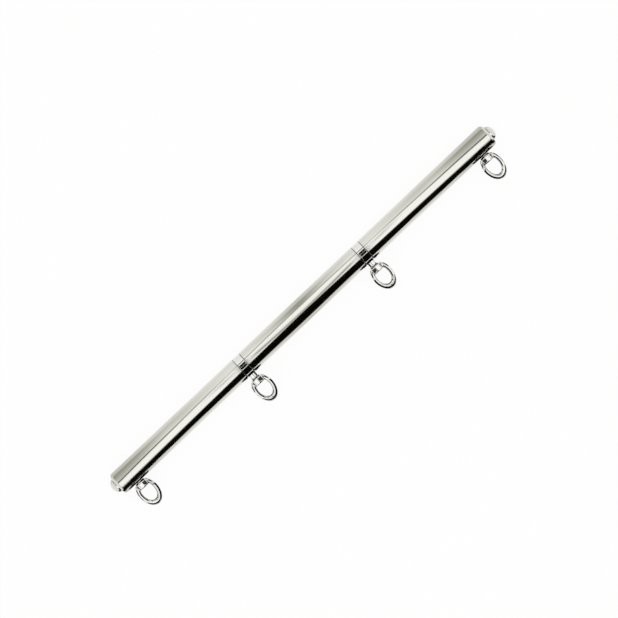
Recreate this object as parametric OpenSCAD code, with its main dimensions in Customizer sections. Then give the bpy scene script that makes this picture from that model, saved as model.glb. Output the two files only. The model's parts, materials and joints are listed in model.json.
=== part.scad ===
// Three-section spreader bar with turning collars and swivel eyes.
// The bar lies along X on the plane Z = 0, with its eyes towards -Y.
// Three tubes screw end to end. At each joint a collar turns freely on a bush, between two washers.
// Each collar and each end tube carries an eye that swivels on its own shouldered pin.

/* [Tubes] */
// Outside diameter of the three tubes and of the collars between them
tube_d = 25; // [23:0.5:32]
// Wall thickness of the tubes
tube_wall = 2.5; // [1.5:0.1:3]
// Length of the middle tube
middle_len = 155.4; // [100:0.1:300]
// Length of each end tube
end_len = 171.2; // [110:0.1:300]
// Inside radius of the lip that each end tube rolls over its plug
lip_round = 1.5; // [0.5:0.1:2.5]
// Chamfer on the tube ends that face a collar
joint_chamfer = 0.5; // [0.2:0.1:1]

/* [End plugs] */
// Step from the rolled lip in to the plug's nose
nose_step = 0.5; // [0.2:0.1:1.5]
// How far the nose stands out of the tube
nose_len = 6.2; // [5.5:0.1:9]
// Height of the dome on the nose
dome_h = 5; // [3:0.1:5.4]
// Length of the plug past the eye's pin
plug_tail = 12; // [8:0.5:25]

/* [Screw joints] */
// Thread diameter of the joining studs
stud_d = 12; // [10:1:13]
// Pitch of the stud's thread
stud_pitch = 1.75; // [1:0.25:2]
// Turns from tight to the last turn of thread
stud_turns = 8; // [4:1:12]
// Length of thread still held after the last turn
stud_hold = 2; // [1:0.5:6]
// Chamfer on the stud's tip and at the mouth of its socket
stud_chamfer = 1.2; // [0.5:0.1:1.5]
// Depth of the spigot's body inside its tube
spigot_depth = 22; // [12:1:40]
// Metal left behind the bottom of the socket's thread
socket_floor = 4; // [2:0.5:10]

/* [Collars] */
// Width of a collar along the bar
collar_w = 9; // [8.5:0.5:20]
// Gap on each side of a collar
collar_gap = 0.5; // [0.2:0.05:0.6]
// Chamfer on the collar's outer edges
collar_chamfer = 0.4; // [0.2:0.1:0.45]
// Wall of the bush that the collar turns on
bush_wall = 2.2; // [1.5:0.1:2.5]
// Step from the tube's surface down to the rims of the washers beside a collar
washer_step = 0.5; // [0.2:0.1:1.5]
// Diameter of the neck that carries the collar's eye
neck_d = 8; // [7:0.5:8.5]
// Height of that neck above the collar
neck_h = 4; // [2:0.1:10]

/* [Swivel eyes] */
// Distance from the outer end of the tube to the end eye's pin
eye_inset = 18.9; // [12:0.1:40]
// Outside width of an eye's oval loop
eye_w = 22.1; // [20:0.1:30]
// Outside length of that oval, which the boss cuts off on the side of the bar
eye_len = 32.2; // [28:0.1:44]
// Thickness of the loop at its round end; at its sides the oval makes it thinner
wire_end = 6; // [3:0.1:6.5]
// Thickness of the loop across its own plane
wire_thick = 4.8; // [3:0.1:6]
// Diameter of the boss that closes the loop
boss_d = 13; // [11.5:0.1:15]
// Height of the boss along the pin
boss_h = 7.7; // [6.5:0.1:12]
// How far the boss stands from the middle of the oval
boss_face = 6; // [3:0.1:8]
// Chamfer of the boss on the side of the bar
boss_chamfer = 1.6; // [0.3:0.1:2]
// Rounding of the boss inside the loop
boss_edge = 0.6; // [0.2:0.1:1]

/* [Swivel pins] */
// Diameter of the plain journal that the eye turns on
journal_d = 6; // [5.5:0.1:6.5]
// Thread diameter of the pins
pin_thread_d = 5; // [3:0.1:5]
// Length of thread in the end plug
pin_bite = 7; // [4:0.5:8]
// Depth of the flat seat for the pin's shoulder below the plug's surface
pin_seat = 0.8; // [0.6:0.1:1.5]
// Diameter of the pin's head
head_d = 9; // [8:0.1:9.5]
// Thickness of the pin's head
head_h = 2; // [1.5:0.1:2.5]
// Width across flats of the hexagon socket in the head
key_w = 3; // [2:0.5:4]
// Depth of that socket
key_depth = 1.2; // [0.5:0.1:1.4]

/* [Clearances] */
// Radial clearance of a journal in its eye and of a collar on its bush
run_gap = 0.05; // [0.02:0.01:0.09]
// Free play of a washer, on each of its faces
washer_play = 0.05; // [0.02:0.01:0.08]
// Radial clearance round the stud, where the thread is shown as a plain cylinder
thread_gap = 0.1; // [0.05:0.01:0.2]
// Free play of an eye along its pin, at each end of the boss
eye_play = 0.3; // [0.1:0.05:0.5]
// Radial clearance round the head of a pin
head_gap = 0.25; // [0.1:0.05:0.5]
// Room left past the tip of a thread
tip_gap = 0.5; // [0.2:0.1:2]

/* [Hidden] */
$fn = 96;

tube_steel = "silver";
bright_steel = "gainsboro";
turned_steel = "lightgray";
dark_steel = "dimgray";
black_nylon = "black";

tube_r = tube_d / 2;
bore_r = tube_r - tube_wall;
lip_r = bore_r - lip_round;
edge_round = lip_round + tube_wall;
nose_r = lip_r - nose_step;

// Places along the bar, measured from its middle
bush_len = collar_w + 2 * collar_gap;
middle_end = middle_len / 2;
collar_x = middle_end + bush_len / 2;
joint_end = middle_end + bush_len;
tube_end = joint_end + end_len;
end_eye_x = tube_end - eye_inset;

// Screw joint
stud_r = stud_d / 2;
thread_len = stud_turns * stud_pitch + stud_hold;
stud_bore_r = stud_r + thread_gap;
bush_r = stud_bore_r + bush_wall;
collar_bore_r = bush_r + run_gap;
washer_r = tube_r - washer_step;
washer_t = collar_gap - 2 * washer_play;
socket_hole = thread_len + tip_gap;
socket_depth = socket_hole + socket_floor;

// Eye, measured along its pin from the middle of its oval
boss_top = boss_face + boss_h;
shoulder = boss_top - boss_chamfer;
head_seat = head_h + eye_play;
journal_bore = journal_d + 2 * run_gap;

// Places along a pin, measured from the bar's axis
neck_top = tube_r + neck_h;
collar_loop = neck_top + eye_play + boss_top;
end_loop = tube_r + eye_play + boss_top;
plug_seat = bore_r - pin_seat;
stand_out = max(collar_loop, end_loop) + eye_len / 2;
axis_y = (stand_out - tube_r) / 2;

// Puts a shape that is made along +X from the origin on the bar's axis, facing side +1 or -1
module on_axis(x, side = 1) {
    translate([side * x, axis_y, tube_r])
        mirror([side < 0 ? 1 : 0, 0, 0])
            children();
}

// Puts a shape that is made along +Z, with the bar along X, on the pin axis of an eye
module on_pin(x) {
    translate([x, axis_y, tube_r])
        rotate([90, 0, 0])
            children();
}

// Turns a profile, with its height along Y, into a round solid along +X
module turned() {
    rotate([0, 90, 0])
        rotate_extrude()
            children();
}

// Profile of a disc of radius r and height h with its first and last edges chamfered
module chamfered_profile(r, h, first, last) {
    polygon([
        [0, 0], [r - first, 0], [r, first],
        [r, h - last], [r - last, h], [0, h]
    ]);
}

// Profile of the inside of an end tube, up to its rolled lip, which the plug fills
module bore_profile(len) {
    square([bore_r, len - edge_round]);
    square([lip_r, len]);
    translate([lip_r, len - edge_round])
        circle(lip_round);
}

// Profile of an end tube: chamfered towards the joint, its lip rolled in at the outer end
module end_tube_profile() {
    difference() {
        union() {
            chamfered_profile(tube_r, end_len - edge_round, joint_chamfer, 0);
            square([lip_r, end_len]);
            translate([lip_r, end_len - edge_round])
                circle(edge_round);
        }
        bore_profile(end_len);
    }
}

module end_tube(side) {
    color(tube_steel)
        difference() {
            on_axis(joint_end, side)
                turned()
                    end_tube_profile();
            on_pin(side * end_eye_x)
                cylinder(d = journal_bore, h = tube_d);
        }
}

module middle_tube() {
    color(tube_steel)
        on_axis(-middle_end)
            turned()
                difference() {
                    chamfered_profile(tube_r, middle_len, joint_chamfer, joint_chamfer);
                    square([bore_r, middle_len]);
                }
}

// Profile of an end plug: body in the tube and under its lip, step, domed nose
module plug_profile(body_len) {
    dome_at = body_len + nose_len - dome_h;
    dome_r = (pow(nose_r, 2) + pow(dome_h, 2)) / (2 * dome_h);
    bore_profile(body_len);
    square([nose_r, dome_at]);
    translate([0, dome_at])
        intersection() {
            translate([0, dome_h - dome_r])
                circle(dome_r);
            square([nose_r, dome_h]);
        }
}

module end_plug(side) {
    body_len = eye_inset + plug_tail;
    color(bright_steel)
        difference() {
            on_axis(tube_end - body_len, side)
                turned()
                    plug_profile(body_len);
            on_pin(side * end_eye_x) {
                translate([0, 0, plug_seat])
                    cylinder(d = journal_d, h = tube_d);
                translate([0, 0, plug_seat - pin_bite - tip_gap])
                    cylinder(d = pin_thread_d, h = tube_d);
            }
        }
}

// Spigot: a body pressed into a tube and a stud that points along +X through the collar's bush
module spigot(face) {
    color(turned_steel)
        on_axis(face - spigot_depth)
            turned() {
                square([bore_r, spigot_depth]);
                translate([0, spigot_depth])
                    chamfered_profile(stud_r, bush_len + thread_len, 0, stud_chamfer);
            }
}

// Socket: a body pressed into a tube, tapped from its -X face for the stud of the next section
module socket(face) {
    mouth_r = stud_bore_r + stud_chamfer;
    color(turned_steel)
        on_axis(face)
            turned()
                difference() {
                    square([bore_r, socket_depth]);
                    square([stud_bore_r, socket_hole]);
                    polygon([[0, 0], [mouth_r, 0], [0, mouth_r]]);
                }
}

// Bush: takes the pull of the screw joint, so that the collar round it stays free
module bush(face) {
    color(dark_steel)
        on_axis(face)
            turned()
                translate([stud_bore_r, 0])
                    square([bush_wall, bush_len]);
}

// Washer: sits on the end of a bush and fills the gap between a tube and the collar
module washer(face) {
    color(black_nylon)
        on_axis(face + washer_play)
            turned()
                translate([bush_r, 0])
                    square([washer_r - bush_r, washer_t]);
}

module collar(side) {
    color(bright_steel)
        on_pin(side * collar_x)
            difference() {
                union() {
                    translate([-collar_w / 2, 0, 0])
                        turned()
                            chamfered_profile(tube_r, collar_w, collar_chamfer, collar_chamfer);
                    cylinder(d = neck_d, h = neck_top);
                }
                translate([-collar_w, 0, 0])
                    rotate([0, 90, 0])
                        cylinder(r = collar_bore_r, h = 2 * collar_w);
                cylinder(d = pin_thread_d, h = 2 * neck_top);
            }
}

// Oval loop in the XY plane about the origin, with its round end towards +Y and its top cut off level
module oval_loop() {
    scale([eye_w / eye_len, 1, wire_thick / wire_end])
        difference() {
            rotate_extrude()
                translate([(eye_len - wire_end) / 2, 0])
                    circle(d = wire_end);
            translate([-eye_len, -eye_len - shoulder, -eye_len])
                cube([2 * eye_len, eye_len, 2 * eye_len]);
        }
}

// Profile of the boss: chamfered towards the bar, its edge rounded inside the loop
module boss_profile(r) {
    chamfered_profile(r, boss_h, boss_chamfer, boss_edge);
    translate([r - boss_edge, boss_h - boss_edge])
        circle(boss_edge);
}

// Swivel eye on a pin along +Z, with the middle of its oval at height reach
module swivel_eye(x, reach) {
    color(bright_steel)
        on_pin(x)
            translate([0, 0, reach])
                difference() {
                    union() {
                        rotate([90, 0, 0])
                            oval_loop();
                        translate([0, 0, -boss_top])
                            rotate_extrude()
                                boss_profile(boss_d / 2);
                    }
                    translate([0, 0, -boss_top - boss_h])
                        cylinder(d = journal_bore, h = 2 * boss_h);
                    translate([0, 0, -boss_face - head_seat])
                        cylinder(d = head_d + 2 * head_gap, h = boss_h);
                }
}

// Shouldered pin along +Z: thread below the seat, journal in the boss, head inside the loop
module swivel_pin(x, reach, seat, thread) {
    head_at = reach - boss_face - head_h;
    color(turned_steel)
        on_pin(x)
            difference() {
                union() {
                    translate([0, 0, seat - thread])
                        cylinder(d = pin_thread_d, h = thread);
                    translate([0, 0, seat])
                        cylinder(d = journal_d, h = head_at - seat);
                    translate([0, 0, head_at])
                        cylinder(d = head_d, h = head_h);
                }
                translate([0, 0, head_at + head_h - key_depth])
                    cylinder(r = key_w / sqrt(3), h = boss_h, $fn = 6);
            }
}

module left_tube() { end_tube(-1); }
module right_tube() { end_tube(1); }
module left_end_plug() { end_plug(-1); }
module right_end_plug() { end_plug(1); }
module left_spigot() { spigot(-joint_end); }
module middle_spigot() { spigot(middle_end); }
module middle_socket() { socket(-middle_end); }
module right_socket() { socket(joint_end); }
module left_bush() { bush(-joint_end); }
module right_bush() { bush(middle_end); }
module left_outer_washer() { washer(-joint_end); }
module left_inner_washer() { washer(-middle_end - collar_gap); }
module right_inner_washer() { washer(middle_end); }
module right_outer_washer() { washer(joint_end - collar_gap); }
module left_collar() { collar(-1); }
module right_collar() { collar(1); }
module left_end_eye() { swivel_eye(-end_eye_x, end_loop); }
module right_end_eye() { swivel_eye(end_eye_x, end_loop); }
module left_collar_eye() { swivel_eye(-collar_x, collar_loop); }
module right_collar_eye() { swivel_eye(collar_x, collar_loop); }

module end_pin(side) {
    swivel_pin(side * end_eye_x, end_loop, plug_seat, pin_bite);
}

module collar_pin(side) {
    swivel_pin(side * collar_x, collar_loop, neck_top, neck_top - collar_bore_r - tip_gap);
}

module left_end_pin() { end_pin(-1); }
module right_end_pin() { end_pin(1); }
module left_collar_pin() { collar_pin(-1); }
module right_collar_pin() { collar_pin(1); }

left_tube();
middle_tube();
right_tube();
left_end_plug();
right_end_plug();
left_spigot();
middle_spigot();
middle_socket();
right_socket();
left_bush();
right_bush();
left_collar();
right_collar();
left_outer_washer();
left_inner_washer();
right_inner_washer();
right_outer_washer();
left_end_eye();
left_collar_eye();
right_collar_eye();
right_end_eye();
left_end_pin();
left_collar_pin();
right_collar_pin();
right_end_pin();
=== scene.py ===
import json
import math
from functools import partial

import bpy
from mathutils import Matrix, Vector


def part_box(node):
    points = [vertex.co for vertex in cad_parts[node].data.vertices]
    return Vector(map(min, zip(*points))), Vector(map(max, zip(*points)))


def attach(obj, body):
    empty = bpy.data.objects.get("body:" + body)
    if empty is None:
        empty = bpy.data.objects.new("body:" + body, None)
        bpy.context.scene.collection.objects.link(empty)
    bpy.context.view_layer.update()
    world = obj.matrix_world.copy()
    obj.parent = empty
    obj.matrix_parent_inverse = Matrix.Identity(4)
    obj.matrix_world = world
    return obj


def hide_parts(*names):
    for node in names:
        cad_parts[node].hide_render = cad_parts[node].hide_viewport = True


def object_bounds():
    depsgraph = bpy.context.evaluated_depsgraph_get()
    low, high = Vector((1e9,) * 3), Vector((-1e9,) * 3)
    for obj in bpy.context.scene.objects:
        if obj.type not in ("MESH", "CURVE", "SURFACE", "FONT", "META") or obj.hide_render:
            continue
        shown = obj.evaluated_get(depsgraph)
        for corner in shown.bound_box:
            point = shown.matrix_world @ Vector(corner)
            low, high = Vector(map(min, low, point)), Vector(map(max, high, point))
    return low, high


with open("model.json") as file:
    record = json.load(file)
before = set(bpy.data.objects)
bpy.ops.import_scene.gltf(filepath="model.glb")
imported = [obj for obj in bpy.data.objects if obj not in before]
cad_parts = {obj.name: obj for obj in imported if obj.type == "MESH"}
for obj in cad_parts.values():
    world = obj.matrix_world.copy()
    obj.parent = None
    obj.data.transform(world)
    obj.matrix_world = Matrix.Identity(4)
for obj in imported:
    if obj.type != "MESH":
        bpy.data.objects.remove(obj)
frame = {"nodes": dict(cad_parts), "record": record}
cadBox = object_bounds()
mm = 0.001

# The bar's own lines, read from the frame
tubeLow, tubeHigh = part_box("middle_tube")
barMiddle = (tubeLow + tubeHigh) / 2
eyeMounts = {mount["name"]: Vector(mount["pos_m"]) for mount in frame["record"]["mounts"]}


# An sRGB hex colour as linear values, with full opacity
def linearColour(hexCode):
    channels = [int(hexCode[i:i + 2], 16) / 255 for i in (1, 3, 5)]
    return [c / 12.92 if c <= 0.04045 else ((c + 0.055) / 1.055) ** 2.4 for c in channels] + [1]


# Adds one node: inputs holds values or the sockets to link from, settings its own options
def addNode(tree, kind, inputs=None, **settings):
    node = tree.nodes.new(kind)
    for name, value in settings.items():
        setattr(node, name, value)
    for socket, value in (inputs or {}).items():
        if isinstance(value, bpy.types.NodeSocket):
            tree.links.new(value, node.inputs[socket])
        else:
            node.inputs[socket].default_value = value
    return node


def baseMaterial(name, colour, metallic=1):
    material = bpy.data.materials.new(name)
    material.use_nodes = True
    shader = material.node_tree.nodes["Principled BSDF"]
    shader.inputs["Metallic"].default_value = metallic
    shader.inputs["Base Color"].default_value = linearColour(colour)
    return material, material.node_tree, shader


noise = {
    "soft": 2.0, "lined": 3.0, "hair": 4.0,    # detail of the patterns
    "span": (0.3, 0.7),                        # nearly all of the noise lies between these
}


# Noise whose grains measure sizes (mm) along the three axes
def grain(tree, sizes, detail="soft"):
    coords = addNode(tree, "ShaderNodeTexCoord")
    placed = addNode(tree, "ShaderNodeMapping", {
        "Vector": coords.outputs["Object"], "Scale": [1 / (size * mm) for size in sizes],
    })
    return addNode(tree, "ShaderNodeTexNoise", {
        "Vector": placed.outputs["Vector"], "Scale": 1.0, "Detail": noise[detail],
    }).outputs["Fac"]


# Spreads one pattern over a finish's roughness, and raises one as a bump of its depth
def finishSurface(tree, shader, finish, dullness, relief):
    dull = addNode(tree, "ShaderNodeMapRange", {
        "Value": dullness, "From Min": noise["span"][0], "From Max": noise["span"][1],
        "To Min": finish["roughness"][0], "To Max": finish["roughness"][1],
    })
    bump = addNode(tree, "ShaderNodeBump", {
        "Height": relief, "Strength": 1.0, "Distance": finish["depth"] * mm,
    })
    tree.links.new(dull.outputs["Result"], shader.inputs["Roughness"])
    tree.links.new(bump.outputs["Normal"], shader.inputs["Normal"])


# Drawn stainless tube, polished along its length: a soft mirror with long, barely seen streaks
tubeFinish = {
    "colour": "#E4E3DC",
    "streak": (80, 0.8, 0.8),        # mm: real draw lines are finer, drawn as coarse as they need to show
    "smudge": (26, 11, 11),          # mm, where hands have dulled the polish
    "lift": 0.25,                    # brings streaks times smudges back to the middle of the noise
    "roughness": (0.07, 0.13),
    "depth": 0.0012,                 # mm
}


def drawnStainless():
    material, tree, shader = baseMaterial("drawnPolishedStainless", tubeFinish["colour"])
    streaks = grain(tree, tubeFinish["streak"], "lined")
    smudges = grain(tree, tubeFinish["smudge"])
    worn = addNode(tree, "ShaderNodeMath", {
        0: streaks, 1: smudges, 2: tubeFinish["lift"],
    }, operation="MULTIPLY_ADD")
    finishSurface(tree, shader, tubeFinish, worn.outputs[0], streaks)
    return material


# Turned and polished plug: a soft mirror with fine rings round the bar's axis
plugFinish = {
    "colour": "#E6E5E0",
    "ring": (0.5, 14, 14),           # mm: real feed lines are about 0.1, drawn as coarse as they need to show
    "roughness": (0.07, 0.13),
    "depth": 0.001,                  # mm
}


def turnedPlugSteel():
    material, tree, shader = baseMaterial("turnedPolishedStainless", plugFinish["colour"])
    rings = grain(tree, plugFinish["ring"], "lined")
    finishSurface(tree, shader, plugFinish, rings, rings)
    return material


# Mirror-polished collar: a clean, dark-edged mirror, with a few hair scratches round it
collarFinish = {
    "colour": "#EDEDEA",
    "scratch": (0.4, 16, 16),        # mm
    "roughness": (0.02, 0.05),
    "depth": 0.0003,                 # mm
}


def mirrorCollarSteel():
    material, tree, shader = baseMaterial("mirrorPolishedSteel", collarFinish["colour"])
    scratches = grain(tree, collarFinish["scratch"], "hair")
    finishSurface(tree, shader, collarFinish, scratches, scratches)
    return material


# Bright nickel-chrome plate on a cast eye: a mirror with the casting's faint orange peel under it
eyeFinish = {
    "colour": "#ECEBE7",
    "peel": (1.6, 1.6, 1.6),         # mm
    "cloud": (7, 7, 7),              # mm
    "roughness": (0.03, 0.07),
    "depth": 0.003,                  # mm
}


def platedEyeMetal():
    material, tree, shader = baseMaterial("chromePlatedCastSteel", eyeFinish["colour"])
    clouds = grain(tree, eyeFinish["cloud"])
    finishSurface(tree, shader, eyeFinish, clouds, grain(tree, eyeFinish["peel"]))
    return material


# Turned pin: satin, with tool marks
pinFinish = {
    "colour": "#CFCEC9",
    "mark": (0.35, 0.35, 0.35),      # mm
    "roughness": (0.18, 0.3),
    "depth": 0.002,                  # mm
}


def turnedPinSteel():
    material, tree, shader = baseMaterial("satinTurnedSteel", pinFinish["colour"])
    marks = grain(tree, pinFinish["mark"])
    finishSurface(tree, shader, pinFinish, marks, marks)
    return material


# Spigots and sockets as they leave the lathe: grey, ringed by the feed, lightly oiled
lathedFinish = {
    "colour": "#BEBCB6",
    "ring": (0.3, 9, 9),             # mm: real feed lines are about 0.1, drawn as coarse as they need to show
    "roughness": (0.2, 0.34),
    "depth": 0.004,                  # mm
}


def lathedSteel():
    material, tree, shader = baseMaterial("lathedOiledSteel", lathedFinish["colour"])
    rings = grain(tree, lathedFinish["ring"], "lined")
    finishSurface(tree, shader, lathedFinish, rings, rings)
    return material


# Phosphated steel bush: near black and dull, ringed by the tool under the coating
bushFinish = {
    "colour": "#4A4A49",
    "ring": (0.3, 8, 8),             # mm
    "roughness": (0.45, 0.6),
    "depth": 0.004,                  # mm
}


def phosphatedSteel():
    material, tree, shader = baseMaterial("darkPhosphatedSteel", bushFinish["colour"])
    rings = grain(tree, bushFinish["ring"], "lined")
    finishSurface(tree, shader, bushFinish, rings, rings)
    return material


# Moulded black nylon washer: satin, so that the gaps beside a collar read as thin dark lines
washerFinish = {
    "colour": "#1A1A1B",
    "mould": (0.5, 0.5, 0.5),        # mm
    "roughness": (0.35, 0.5),
    "depth": 0.003,                  # mm
    "ior": 1.53,
}


def mouldedNylon():
    material, tree, shader = baseMaterial("mouldedBlackNylon", washerFinish["colour"], 0)
    shader.inputs["IOR"].default_value = washerFinish["ior"]
    mould = grain(tree, washerFinish["mould"])
    finishSurface(tree, shader, washerFinish, mould, mould)
    return material


finishes = {
    "polished_tube": drawnStainless(),
    "polished_plug": turnedPlugSteel(),
    "mirror_collar": mirrorCollarSteel(),
    "plated_eye": platedEyeMetal(),
    "turned_pin": turnedPinSteel(),
    "turned_steel": lathedSteel(),
    "dark_bush": phosphatedSteel(),
    "black_washer": mouldedNylon(),
}
for subpart in frame["record"]["subparts"]:
    slots = frame["nodes"][subpart["node"]].data.materials
    slots.clear()
    slots.append(finishes[subpart["material_slot"]])
print("finishes done:", len(finishes))


# Small helpers for modelling one object at a time
def selectOnly(obj):
    bpy.ops.object.select_all(action="DESELECT")
    bpy.context.view_layer.objects.active = obj
    obj.select_set(True)


def beginEdit(obj):
    selectOnly(obj)
    bpy.ops.object.mode_set(mode="EDIT")
    bpy.ops.mesh.select_all(action="DESELECT")


# Selects the edges whose two ends are both at a wanted place (mm)
def selectEdges(obj, wanted):
    bpy.ops.mesh.select_mode(type="EDGE")
    bpy.ops.mesh.select_all(action="DESELECT")
    bpy.ops.object.mode_set(mode="OBJECT")
    for edge in obj.data.edges:
        edge.select = all(wanted(obj.data.vertices[i].co / mm) for i in edge.vertices)
    bpy.ops.object.mode_set(mode="EDIT")


def endEdit():
    bpy.ops.mesh.select_all(action="SELECT")
    bpy.ops.mesh.normals_make_consistent(inside=False)
    bpy.ops.object.mode_set(mode="OBJECT")


def applyModifier(obj, kind, **settings):
    selectOnly(obj)
    modifier = obj.modifiers.new(kind.title(), kind)
    for name, value in settings.items():
        setattr(modifier, name, value)
    bpy.ops.object.modifier_apply(modifier=modifier.name)


def combine(obj, other, operation):
    applyModifier(obj, "BOOLEAN", object=other, operation=operation, solver="EXACT")
    bpy.data.objects.remove(other)


# Smooth shading up to an angle (degrees), and a slot's finish
def dressPiece(piece, sharpFrom, slotName):
    selectOnly(piece)
    bpy.ops.object.shade_smooth_by_angle(angle=math.radians(sharpFrom))
    piece.data.materials.clear()
    piece.data.materials.append(finishes[slotName])


# Puts a copy of a finished piece at a place, in place of a node
def install(piece, node, body, place):
    copy = bpy.data.objects.new(node + "Visual", piece.data.copy())
    bpy.context.scene.collection.objects.link(copy)
    copy.data.transform(Matrix.Translation(place))
    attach(copy, body)
    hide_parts(node)


# Cast swivel eye about the middle of its oval: Y points to the bar, X along it (mm)
eyeShape = {
    "length": 32.2,
    "width": 22.1,
    "endThickness": 6.0,
    "acrossThickness": 4.8,
    "loopSteps": (144, 48),
    "shoulder": 12.1,                # where the oval is cut off beside the boss
    "bossRadius": 6.5,
    "bossFrom": 6.0,
    "bossTo": 13.7,
    "bossChamfer": 1.6,
    "bossEdge": 0.6,
    "edgeSteps": 8,
    "boreRadius": 3.05,
    "borePast": 5,                   # how far the drill runs out of the boss
    "headRadius": 4.75,
    "headDepth": 2.3,
    "barSides": 96,
    "tolerance": 0.01,               # to find the edges at an end of the boss
    "voxel": 0.25,
    "melting": 0.5,                  # strength of each pass that melts the loop into the boss
    "blending": 16,                  # passes, for fillets such as a casting has
    "sharpFrom": 40,                 # degrees
}


# A round bar along Y: a circle extruded from one end to the other
def roundBar(radius, start, end):
    bpy.ops.object.select_all(action="DESELECT")
    bpy.ops.mesh.primitive_circle_add(vertices=eyeShape["barSides"], radius=radius * mm,
                                      fill_type="NGON", rotation=(math.pi / 2, 0, 0))
    bar = bpy.context.object
    bpy.ops.object.transform_apply(rotation=True)
    beginEdit(bar)
    bpy.ops.mesh.select_all(action="SELECT")
    bpy.ops.transform.translate(value=(0, start * mm, 0))
    bpy.ops.mesh.extrude_region_move(TRANSFORM_OT_translate={"value": (0, (end - start) * mm, 0)})
    endEdit()
    return bar


def castEye():
    shape = eyeShape
    majorSteps, minorSteps = shape["loopSteps"]
    bpy.ops.object.select_all(action="DESELECT")
    bpy.ops.mesh.primitive_torus_add(major_segments=majorSteps, minor_segments=minorSteps,
                                     major_radius=(shape["length"] - shape["endThickness"]) / 2 * mm,
                                     minor_radius=shape["endThickness"] / 2 * mm)
    eye = bpy.context.object
    beginEdit(eye)
    bpy.ops.mesh.select_all(action="SELECT")
    bpy.ops.transform.resize(value=(shape["width"] / shape["length"], 1,
                                    shape["acrossThickness"] / shape["endThickness"]))
    bpy.ops.mesh.bisect(plane_co=(0, shape["shoulder"] * mm, 0), plane_no=(0, 1, 0),
                        use_fill=True, clear_outer=True)
    endEdit()
    boss = roundBar(shape["bossRadius"], shape["bossFrom"], shape["bossTo"])
    bossEnds = (
        (shape["bossTo"], shape["bossChamfer"], 1),                    # flat chamfer next to the bar
        (shape["bossFrom"], shape["bossEdge"], shape["edgeSteps"]),    # rounded edge inside the loop
    )
    beginEdit(boss)
    for place, width, steps in bossEnds:
        selectEdges(boss, lambda spot: abs(spot.y - place) < shape["tolerance"])
        bpy.ops.mesh.bevel(offset=width * mm, segments=steps, affect="EDGES")
    endEdit()
    combine(eye, boss, "UNION")
    applyModifier(eye, "REMESH", mode="VOXEL", voxel_size=shape["voxel"] * mm)
    applyModifier(eye, "SMOOTH", factor=shape["melting"], iterations=shape["blending"])
    bore = roundBar(shape["boreRadius"], 0, shape["bossTo"] + shape["borePast"])
    combine(eye, bore, "DIFFERENCE")
    headSeat = roundBar(shape["headRadius"], 0, shape["bossFrom"] + shape["headDepth"])
    combine(eye, headSeat, "DIFFERENCE")
    dressPiece(eye, shape["sharpFrom"], "plated_eye")
    return eye


# A mount, its eye's node and its eye's body share a name
eyePattern = castEye()
for name, place in eyeMounts.items():
    install(eyePattern, name, name, place)
bpy.data.objects.remove(eyePattern)
print("eyes done")

# Spigot with its real thread, from the body's end at X = 0 (mm)
spigotShape = {
    "bodyRadius": 10,
    "bodyEnd": 22,
    "bodyEdge": 0.4,
    "studRadius": 6,
    "threadFrom": 32,
    "tip": 48,
    "tipChamfer": 1.2,
    "pitch": 1.75,
    "flank": 30,                     # degrees: the flanks stand at 60 to each other
    "crest": 0.22,                   # flat left on the thread's crest
    "rootRadius": 4.93,
    "rootEdge": 0.13,                # chamfer of the core at the tip
    "sunk": 0.2,                     # how deep the ridge's foot lies in the core
    "leadIn": 1.5,                   # turns wound before the thread's start, which are cut off
    "sides": 96,
    "weld": 0.001,                   # points closer than this are merged
    "sharpFrom": 25,                 # degrees
}


# Draws an open or closed line of (x, radius) points, by extruding its first vertex along it
def drawLine(points, closed):
    mesh = bpy.data.meshes.new("line")
    line = bpy.data.objects.new("line", mesh)
    bpy.context.scene.collection.objects.link(line)
    mesh.vertices.add(1)
    mesh.vertices[0].co = (points[0][0] * mm, 0, points[0][1] * mm)
    beginEdit(line)
    bpy.ops.mesh.select_all(action="SELECT")
    for (x0, r0), (x1, r1) in zip(points, points[1:]):
        step = ((x1 - x0) * mm, 0, (r1 - r0) * mm)
        bpy.ops.mesh.extrude_vertices_move(TRANSFORM_OT_translate={"value": step})
    if closed:
        bpy.ops.mesh.select_all(action="SELECT")
        bpy.ops.mesh.edge_face_add()
        bpy.ops.mesh.delete(type="ONLY_FACE")
    bpy.ops.object.mode_set(mode="OBJECT")
    return line


# Spins a line of (x, radius) points round the X axis into a closed solid
def spunSolid(points):
    solid = drawLine(points, False)
    beginEdit(solid)
    bpy.ops.mesh.select_all(action="SELECT")
    bpy.ops.mesh.spin(steps=spigotShape["sides"], angle=2 * math.pi, center=(0, 0, 0), axis=(1, 0, 0))
    bpy.ops.mesh.select_all(action="SELECT")
    bpy.ops.mesh.remove_doubles(threshold=spigotShape["weld"] * mm)
    endEdit()
    return solid


# The thread's ridge, wound along the stud from before its start to past its tip
def woundRidge():
    shape = spigotShape
    halfCrest = shape["crest"] / 2
    base = shape["rootRadius"] - shape["sunk"]
    foot = halfCrest + (shape["studRadius"] - base) * math.tan(math.radians(shape["flank"]))
    start = shape["threadFrom"] - shape["leadIn"] * shape["pitch"]
    outline = [
        (start - foot, base), (start - halfCrest, shape["studRadius"]),
        (start + halfCrest, shape["studRadius"]), (start + foot, base),
    ]
    ridge = drawLine(outline, True)
    turns = math.ceil((shape["tip"] - start) / shape["pitch"]) + 1
    applyModifier(ridge, "SCREW", axis="X", screw_offset=shape["pitch"] * mm, angle=2 * math.pi,
                  steps=shape["sides"], render_steps=shape["sides"], iterations=turns,
                  use_merge_vertices=True, merge_threshold=shape["weld"] * mm)
    beginEdit(ridge)
    bpy.ops.mesh.select_all(action="SELECT")
    bpy.ops.mesh.fill_holes(sides=len(outline))
    endEdit()
    return ridge


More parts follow.
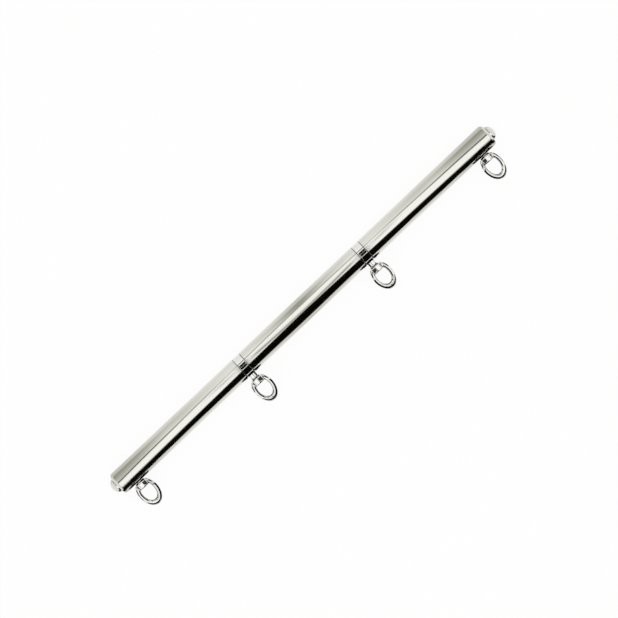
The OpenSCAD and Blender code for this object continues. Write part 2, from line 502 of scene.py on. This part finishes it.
def threadedSpigot():
    shape = spigotShape
    body, bodyEnd, edge = shape["bodyRadius"], shape["bodyEnd"], shape["bodyEdge"]
    stud, tip, chamfer = shape["studRadius"], shape["tip"], shape["tipChamfer"]
    root, rootEdge = shape["rootRadius"], shape["rootEdge"]
    fullTo = shape["threadFrom"] - (stud - root)
    spigot = spunSolid([
        (0, 0), (0, body - edge), (edge, body), (bodyEnd - edge, body), (bodyEnd, body - edge),
        (bodyEnd, stud), (fullTo, stud), (shape["threadFrom"], root),
        (tip - rootEdge, root), (tip, root - rootEdge), (tip, 0),
    ])
    ridge = woundRidge()
    envelope = spunSolid([
        (fullTo, 0), (fullTo, stud), (tip - chamfer, stud), (tip, stud - chamfer), (tip, 0),
    ])
    combine(ridge, envelope, "INTERSECT")
    combine(spigot, ridge, "UNION")
    dressPiece(spigot, shape["sharpFrom"], "turned_steel")
    return spigot


spigotPattern = threadedSpigot()
for node, body in (("left_spigot", "left_section"), ("middle_spigot", "middle_section")):
    install(spigotPattern, node, body, (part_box(node)[0].x, barMiddle.y, barMiddle.z))
bpy.data.objects.remove(spigotPattern)
print("threads done")

# Soft studio: a plain white world
world = bpy.data.worlds.new("softStudio")
bpy.context.scene.world = world
world.use_nodes = True
worldTree = world.node_tree
worldTree.nodes.clear()
whiteLight = addNode(worldTree, "ShaderNodeBackground", {"Color": (1, 1, 1, 1), "Strength": 1.0})
addNode(worldTree, "ShaderNodeOutputWorld", {"Surface": whiteLight.outputs[0]})


# A material of the stage, with all its nodes still to come
def stageMaterial(name):
    material = bpy.data.materials.new(name)
    material.use_nodes = True
    material.node_tree.nodes.clear()
    return material, material.node_tree


# Stage pieces that are seen in reflections alone
def mirrorOnly(obj):
    obj.visible_camera = False
    obj.visible_diffuse = False
    obj.visible_transmission = False
    obj.visible_shadow = False


# Light tent round the bar, seen in reflections alone: white overhead with a crease in it, a black flag on the
# eyes' side, a grey wall on the other with a seam along its top, and two black tapes over each collar
# Angles (degrees) run round the bar from the eyes' side over the top, and places (mm) from its middle
lightTent = {
    "radius": 300,
    "halfLength": 3000,
    "angles": (-8, 188),
    "steps": (481, 201),
    "spread": 7,                     # power that keeps its grid finest over the bar
    "overBar": 270,                  # past here it runs on unchanged, as a tunnel
    "plainFrom": 470,                # and far along it turns plain
    "plainAt": 570,
    "plain": 0.85,
    "warmth": (1, 0.99, 1.1),        # powers that turn the greys of the cloth warm
    "white": 1.15,
    "black": 0.002,
    # Flag: its top edge by place, the degrees from black to white over it, and the light below its foot
    "flagTop": [
        (0, 74.8), (37, 71.1), (70, 68.4), (88, 66.4), (103, 62.5), (140, 57.5), (172, 53.8), (198, 50),
        (236, 43), (266, 34),
    ],
    "flagSoft": [(0, 5), (88, 5), (140, 9), (198, 11), (236, 14), (266, 22)],
    "flagFoot": [(2.5, 1), (5, 0)],
    "underFlag": [(20, 0.1), (37, 0.5), (65, 0.7), (140, 0.7), (172, 0.5), (198, 0.0)],
    # Wall: its grey by place, how much it brightens towards its seam, how that fades, and its foot
    "wall": [
        (0, 0.32), (37, 0.58), (70, 0.77), (103, 0.88), (140, 0.78), (172, 0.66), (198, 0.61), (236, 0.39),
        (266, 0.36),
    ],
    "rise": [
        (0, 0.1), (37, 0.48), (70, 0.34), (103, 0.12), (140, 0.18), (172, 0.3), (198, 0.58), (236, 0.8),
        (266, 1.0),
    ],
    "riseFrom": [(10, 1), (22, 0.6), (45, 0.25), (64, 0)],
    "foot": [(170, 1), (181, 1.12)],
    # Seam: its angle, what it leaves of the light and its half width by place, and its half step to the wall
    "seamAt": [
        (0, 130), (20, 134), (37, 136), (70, 132.5), (140, 125), (172, 119.5), (200, 115.5), (236, 109.5),
        (266, 101),
    ],
    "seam": [
        (0, 1.0), (37, 0.3), (70, 0.4), (82, 0.35), (83, 0.1), (93, 0.1), (94, 0.5), (103, 0.7), (140, 0.35),
        (172, 0.25), (198, 0.0), (266, 0.0),
    ],
    "seamHalf": [(172, 5), (200, 5.3), (236, 6), (266, 6.6)],
    "seamStep": 1.5,
    # Crease: its angle, what it leaves of the light by place (above 1 it lightens), and its half width
    "creaseAt": [(0, 83), (37, 86), (70, 95), (103, 101), (150, 108)],
    "crease": [
        (0, 0.42), (37, 0.34), (70, 0.34), (77, 0.95), (81, 1.14), (97, 1.14), (103, 0.85), (110, 0.6),
        (115, 0.6), (150, 1.0),
    ],
    "creaseHalf": 11,
    # Tapes: their place and half width, and what they leave of the light by angle
    "tapesAt": 88,
    "tapesHalf": 5.2,
    "tapes": [
        (71.5, 1), (74, 0.003), (94.5, 0.003), (95.5, 0.28), (97.5, 0.28), (98.5, 0.003), (116.5, 0.003),
        (119, 1),
    ],
}

# Grey strips on the floor behind the bar and before it, also seen in reflections alone: painted shade of the
# floor beside the bar, darker at the bar's middle and ends (mm)
floorShadeStrips = {
    "halfLength": 290,
    "height": 0.2,
    "spread": 2,                     # power that keeps their grids finest beside the bar
    # Each strip: its reach from the bar's axis, its grid, its painted shade along the bar and how that falls
    # across it
    "strips": {
        "behindShadeStrip": {
            "reach": (15, 260),
            "steps": (117, 41),
            "level": [
                (0, 0.66), (37, 0.84), (70, 0.88), (103, 0.9), (140, 0.88), (172, 0.8), (198, 0.8),
                (236, 0.67), (266, 0.64),
            ],
            "fall": [(18, 1.15), (26, 1.08), (43, 1.0), (89, 1.0), (168, 0.86)],
        },
        "frontShadeStrip": {
            "reach": (-14, -70),
            "steps": (117, 21),
            "level": [
                (0, 0.64), (37, 0.81), (70, 0.9), (140, 0.9), (172, 0.87), (198, 0.79), (236, 0.65),
                (266, 0.62),
            ],
            "fall": [(18, 1.1), (46, 1.0), (70, 0.95)],
        },
    },
}


# The value at a place, on straight lines between (place, value) stops
def along(stops, place):
    for (low, start), (high, end) in zip(stops, stops[1:]):
        if place <= high:
            return start + (end - start) * max(0, (place - low) / (high - low))
    return stops[-1][1]


# A soft dip from 1 to what it leaves, over a half width
def dip(leaves, distance, half):
    return 1 - (1 - leaves) * math.exp(-(distance / half) ** 2)


# How bright the tent is at a place and an angle
def tentLight(place, angle):
    tent = lightTent
    fromSeam = angle - along(tent["seamAt"], place)
    fromCrease = angle - along(tent["creaseAt"], place)
    overFlag = angle - along(tent["flagTop"], place)
    overhead = tent["white"] * dip(along(tent["crease"], place), fromCrease, tent["creaseHalf"])
    wall = along(tent["wall"], place) * along(tent["foot"], angle)
    wall *= 1 + along(tent["rise"], place) * along(tent["riseFrom"], fromSeam)
    # The wall starts at the seam, and seam, flag and tapes take light away
    light = along([(-tent["seamStep"], overhead), (tent["seamStep"], wall)], fromSeam)
    light *= dip(along(tent["seam"], place), fromSeam, along(tent["seamHalf"], place))
    light *= along([(0, 0), (along(tent["flagSoft"], place), 1)], overFlag)
    if abs(place - tent["tapesAt"]) < tent["tapesHalf"]:
        light *= along(tent["tapes"], angle)
    light += along(tent["flagFoot"], angle) * along(tent["underFlag"], place)
    return max(light, tent["black"])


# White tent cloth lit from outside: each point shows its own light, the same from all sides
def litTentCloth():
    material, tree = stageMaterial("litTentCloth")
    level = addNode(tree, "ShaderNodeAttribute", attribute_name="glow")
    shine = addNode(tree, "ShaderNodeEmission", {"Color": level.outputs["Color"], "Strength": 1.0})
    addNode(tree, "ShaderNodeOutputMaterial", {"Surface": shine.outputs[0]})
    return material


tentCloth = litTentCloth()


# Hangs a grid of cloth: spot gives the place and light of a point, from -1 to 1 along it and 0 to 1 across
def hangCloth(name, steps, spot):
    bpy.ops.object.select_all(action="DESELECT")
    bpy.ops.mesh.primitive_grid_add(x_subdivisions=steps[0], y_subdivisions=steps[1], size=2)
    cloth = bpy.context.object
    cloth.name = name
    glow = cloth.data.color_attributes.new("glow", "FLOAT_COLOR", "POINT")
    for vertex, light in zip(cloth.data.vertices, glow.data):
        place, bright = spot(vertex.co.x, (vertex.co.y + 1) / 2)
        light.color = [bright ** power for power in lightTent["warmth"]] + [1]
        vertex.co = place
    cloth.data.materials.append(tentCloth)
    mirrorOnly(cloth)


def tentSpot(lengthways, across):
    tent = lightTent
    near = tent["overBar"]
    place = near * lengthways + (tent["halfLength"] - near) * lengthways ** tent["spread"]
    low, high = tent["angles"]
    angle = low + (high - low) * across
    pattern = tentLight(min(abs(place), near), angle)
    bright = along([(tent["plainFrom"], pattern), (tent["plainAt"], tent["plain"])], abs(place))
    turn = math.radians(angle)
    radius = tent["radius"] * mm
    offset = Vector((place * mm, -radius * math.cos(turn), radius * math.sin(turn)))
    return barMiddle + offset, bright


# A point of a strip of painted floor shade: its place and brightness
def stripSpot(strip, lengthways, across):
    place = floorShadeStrips["halfLength"] * lengthways
    low, high = strip["reach"]
    reach = low + (high - low) * across ** floorShadeStrips["spread"]
    bright = min(1, along(strip["level"], abs(place)) * along(strip["fall"], abs(reach)))
    height = cadBox[0].z + floorShadeStrips["height"] * mm
    return Vector((barMiddle.x + place * mm, barMiddle.y + reach * mm, height)), bright


hangCloth("lightTent", lightTent["steps"], tentSpot)
# Hangs the strips of painted floor shade as glowing cloth that only the metal sees
for name, strip in floorShadeStrips["strips"].items():
    hangCloth(name, strip["steps"], partial(stripSpot, strip))
print("tent done")

# Cards at each eye, each dark on one side alone and seen in reflections alone: painted shade and painted dark
# reflections, for the dark lines in its metal and in the bar next to it
# From the middle of the loop (mm): X towards the bar's middle, Y towards the bar, Z up
# Inner and outer cards stand at an X, front and back ones at a Y, and flat ones lie at a Z
# The two spans of a card run along the other two axes, in that order
shadeCardTones = {"black": "#0A0A0A", "charcoal": "#454545", "slate": "#606060", "grey": "#8C8C8C"}
lensSides = 64                       # a lens is an oval card
eyeShadeCards = [
    # name, how it stands, at, first span, second span, tone, eyes
    ("block", "inner", 13, (6.2, 11.3), (2, 42), "charcoal", ("collar", "end")),
    ("arm", "inner", 16, (-45, 2.6), (-6, 95), "black", ("collar", "end")),
    ("shoulder", "outer", -12.5, (3, 11), (-12, 4), "grey", ("collar", "end")),
    ("rim", "front", -32, (-60, 14), (9, 64), "black", ("collar",)),
    ("rim", "front", -32, (-60, 14), (9, 50), "black", ("end",)),
    ("rimFoot", "front", -32, (-60, -20), (-12, 9), "black", ("end",)),
    ("neck", "inner", 5.5, (13.9, 18.2), (-12, 5), "grey", ("collar",)),
    ("cap", "front", 0, (-7, 7), (14, 33), "black", ("end",)),
    ("lens", "front", 13.85, (-13, 13), (-4.5, 7), "black", ("collar",)),
    ("lens", "front", 13.85, (-13.5, 13.5), (0.8, 5.6), "black", ("end",)),
    ("foot", "front", 13.85, (-6.8, 6.8), (-9, 4), "black", ("end",)),
    ("inside", "back", 5.5, (-12, 12), (-3, 9), "slate", ("collar", "end")),
    ("under", "flat", -12.1, (-13, 13), (-32, 0), "black", ("collar", "end")),
    ("corner", "outer", -31, (-8, 11), (-12, 5), "black", ("end",)),
    ("far", "flat", -12.1, (-45, 22), (-220, -88), "black", ("end",)),
    ("pad", "flat", -12.1, (-9, 9), (0, 13), "black", ("collar",)),
]


# Dull card paper for painted shade: dark on the side that it faces, and not there from behind
def oneSidedShadePaper(tone):
    material, tree = stageMaterial("shadeCardPaper" + tone[1:])
    face = addNode(tree, "ShaderNodeNewGeometry")
    paper = addNode(tree, "ShaderNodeBsdfDiffuse", {"Color": linearColour(tone)})
    clear = addNode(tree, "ShaderNodeBsdfTransparent")
    sheet = addNode(tree, "ShaderNodeMixShader", {
        0: face.outputs["Backfacing"], 1: paper.outputs[0], 2: clear.outputs[0],
    })
    addNode(tree, "ShaderNodeOutputMaterial", {"Surface": sheet.outputs[0]})
    return material


shadePapers = {name: oneSidedShadePaper(tone) for name, tone in shadeCardTones.items()}


# Sets one card of painted shade and dark reflection beside an eye
def setShadeCard(eye, name, stands, at, first, second, tone):
    inward = -math.copysign(1, eyeMounts[eye].x)
    middle = [sum(first) / 2, sum(second) / 2]
    size = [first[1] - first[0], second[1] - second[0]]
    quarter = math.pi / 2
    if stands in ("inner", "outer"):
        spot = (at, middle[0], middle[1])
        turn = (0, (-inward if stands == "inner" else inward) * quarter, 0)
        size.reverse()               # turned about Y, a card's own X stands up
    elif stands == "flat":
        spot = (middle[0], middle[1], at)
        turn = (0, 0, 0)
    else:
        spot = (middle[0], at, middle[1])
        turn = (-quarter if stands == "front" else quarter, 0, 0)
    place = eyeMounts[eye] + Vector((inward * spot[0], spot[1], spot[2])) * mm
    bpy.ops.object.select_all(action="DESELECT")
    if name == "lens":
        bpy.ops.mesh.primitive_circle_add(radius=0.5, vertices=lensSides, fill_type="NGON",
                                          location=place, rotation=turn)
    else:
        bpy.ops.mesh.primitive_plane_add(size=1, location=place, rotation=turn)
    card = bpy.context.object
    card.name = eye + name[0].upper() + name[1:] + "Card"
    card.scale = (size[0] * mm, size[1] * mm, 1)
    card.data.materials.append(shadePapers[tone])
    mirrorOnly(card)


for eye in eyeMounts:
    for *card, kinds in eyeShadeCards:
        if any(kind in eye for kind in kinds):
            setShadeCard(eye, *card)
print("cards done")

# White acrylic sheet: plain white to the camera with a soft shadow, glossy where metal mirrors it
floorSheet = {
    "radius": 30,                    # m
    "sides": 96,
    "colour": "#F6F6F4",
    "glow": 0.93,                    # share of plain white in what the camera and the metal see
    "ior": 1.9,
    "coat": 0.6,                     # strength of the gloss that the metal sees
    "polish": 0.1,                   # roughness of that gloss
}


def whiteAcrylic():
    material, tree = stageMaterial("whiteAcrylicSheet")
    path = addNode(tree, "ShaderNodeLightPath")
    seen = addNode(tree, "ShaderNodeMath", {
        0: path.outputs["Is Camera Ray"], 1: path.outputs["Is Glossy Ray"],
    }, operation="MAXIMUM")
    through = addNode(tree, "ShaderNodeMath", {
        0: seen.outputs[0], 1: path.outputs["Is Transmission Ray"],
    }, operation="MAXIMUM")
    share = addNode(tree, "ShaderNodeMath", {
        0: through.outputs[0], 1: floorSheet["glow"],
    }, operation="MULTIPLY")
    sheet = addNode(tree, "ShaderNodeBsdfDiffuse", {"Color": linearColour(floorSheet["colour"])})
    glow = addNode(tree, "ShaderNodeEmission", {"Color": (1, 1, 1, 1), "Strength": 1.0})
    white = addNode(tree, "ShaderNodeMixShader", {
        0: share.outputs[0], 1: sheet.outputs[0], 2: glow.outputs[0],
    })
    mirrored = addNode(tree, "ShaderNodeFresnel", {"IOR": floorSheet["ior"]})
    inMirrors = addNode(tree, "ShaderNodeMath", {
        0: path.outputs["Is Glossy Ray"], 1: floorSheet["coat"],
    }, operation="MULTIPLY")
    coat = addNode(tree, "ShaderNodeMath", {
        0: mirrored.outputs[0], 1: inMirrors.outputs[0],
    }, operation="MULTIPLY")
    gloss = addNode(tree, "ShaderNodeBsdfGlossy", {"Roughness": floorSheet["polish"]})
    mixed = addNode(tree, "ShaderNodeMixShader", {
        0: coat.outputs[0], 1: white.outputs[0], 2: gloss.outputs[0],
    })
    addNode(tree, "ShaderNodeOutputMaterial", {"Surface": mixed.outputs[0]})
    return material


def acrylicFloor():
    bpy.ops.object.select_all(action="DESELECT")
    bpy.ops.mesh.primitive_circle_add(vertices=floorSheet["sides"], radius=floorSheet["radius"],
                                      fill_type="NGON", location=(0, 0, cadBox[0].z))
    floor = bpy.context.object
    floor.name = "studioFloor"
    floor.data.materials.append(whiteAcrylic())


acrylicFloor()
print("floor done")

cameraView = {
    "imageSide": 618,                # pixels
    "scale": 1.012,                  # mm to a pixel at the bar's axis
    "barAt": (303.0, 309.3),         # pixel of the bar's middle
    "turn": 43.39,                   # degrees that the bar rises to the right
    "elevation": 94,                 # degrees above the horizon on the eyes' side: a little past the top
    "distance": 5000,                # mm from the bar's axis
    "sensor": 36,                    # mm
}


def photoCamera():
    pixel = cameraView["scale"] * mm
    distance = cameraView["distance"] * mm
    data = bpy.data.cameras.new("photoView")
    data.sensor_width = cameraView["sensor"]
    data.lens = cameraView["sensor"] * distance / (cameraView["imageSide"] * pixel)
    camera = bpy.data.objects.new("photoView", data)
    bpy.context.scene.collection.objects.link(camera)
    toCentre = [cameraView["imageSide"] / 2 - place for place in cameraView["barAt"]]
    camera.matrix_world = (
        Matrix.Translation(barMiddle)
        @ Matrix.Rotation(math.radians(90 - cameraView["elevation"]), 4, "X")
        @ Matrix.Rotation(-math.radians(cameraView["turn"]), 4, "Z")
        @ Matrix.Translation((toCentre[0] * pixel, -toCentre[1] * pixel, distance))
    )
    bpy.context.scene.camera = camera


photoCamera()
bpy.context.scene.view_settings.view_transform = "Standard"
print("scene ready")
